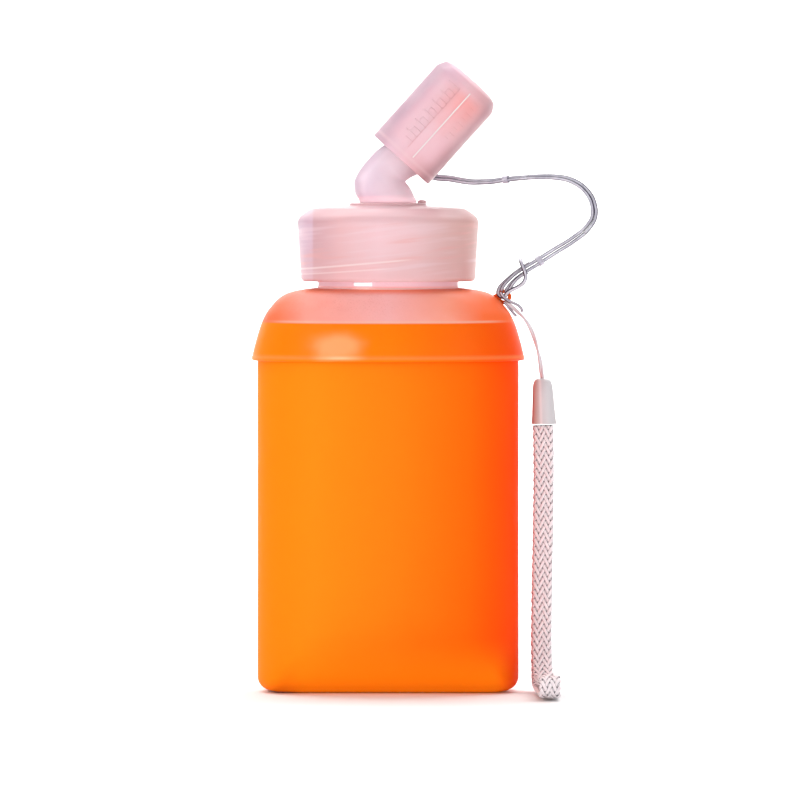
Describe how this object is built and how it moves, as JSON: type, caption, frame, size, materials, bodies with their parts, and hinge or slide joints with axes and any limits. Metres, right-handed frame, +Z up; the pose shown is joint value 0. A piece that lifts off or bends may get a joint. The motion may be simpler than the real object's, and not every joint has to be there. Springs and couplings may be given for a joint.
{
  "type": "sports squeeze bottle",
  "caption": "Wide flat soft squeeze bottle with a frosted shoulder, screw lid, angled drinking spout under a pull-off cap, cap tether and wrist strap.",
  "frame": {"origin": "centre of the bottle's flat base, on the floor", "axes": "+Z up along the neck, +X to the side that the spout leans and the strap hangs, -Y the wide front face"},
  "size_m": [0.1275, 0.0956, 0.2325],
  "materials": {
    "bag_silicone": "soft satin silicone",
    "frosted_shoulder": "frosted translucent plastic",
    "ring_plastic": "satin plastic",
    "lid_plastic": "frosted translucent plastic",
    "spout_plastic": "frosted translucent plastic",
    "cap_plastic": "satin translucent plastic",
    "coral_silicone": "soft satin silicone",
    "seal_silicone": "matt silicone",
    "tether_plastic": "clear plastic line",
    "string_cotton": "thin woven string",
    "ferrule_plastic": "satin plastic",
    "strap_webbing": "braided webbing",
    "crimp_metal": "pressed metal"
  },
  "bodies": {
    "bottle": {"bag": "bag_silicone", "shoulder_shell": "frosted_shoulder", "bag_clamp_ring": "ring_plastic", "tether_lower": "tether_plastic", "sleeve_lower": "tether_plastic", "tether_knot": "tether_plastic", "strap_string": "string_cotton", "cord_end": "ferrule_plastic", "strap_crimp": "crimp_metal", "wrist_strap": "strap_webbing"},
    "lid_seal": {"lid_gasket": "seal_silicone"},
    "lid": {"lid": "lid_plastic"},
    "spout": {"spout_elbow": "spout_plastic", "spout_oring": "seal_silicone", "spout_retaining_ring": "ring_plastic", "mouthpiece": "coral_silicone", "tether_upper": "tether_plastic", "tether_loop": "tether_plastic", "sleeve_upper": "tether_plastic"},
    "cap": {"spout_cap": "cap_plastic"}
  },
  "joints": [
    {"name": "lid_lift", "type": "slide", "parent": "bottle", "child": "lid_seal", "axis": [0, 0, 1], "range_m": [0, 0.028]},
    {"name": "lid_turn", "type": "hinge", "parent": "lid_seal", "child": "lid", "pos_m": [0, 0, 0.1506], "axis": [0, 0, 1], "range_deg": [0, 720]},
    {"name": "spout_swivel", "type": "hinge", "parent": "lid", "child": "spout", "pos_m": [0, 0, 0.1802], "axis": [0, 0, 1], "range_deg": [-60, 60]},
    {"name": "cap_pull", "type": "slide", "parent": "spout", "child": "cap", "axis": [0.6691, 0, 0.7431], "range_m": [0, 0.04]}
  ],
  "couplings": [
    {"joint": "lid_lift", "follows": "lid_turn", "m_per_rad": 0.0022281}
  ]
}
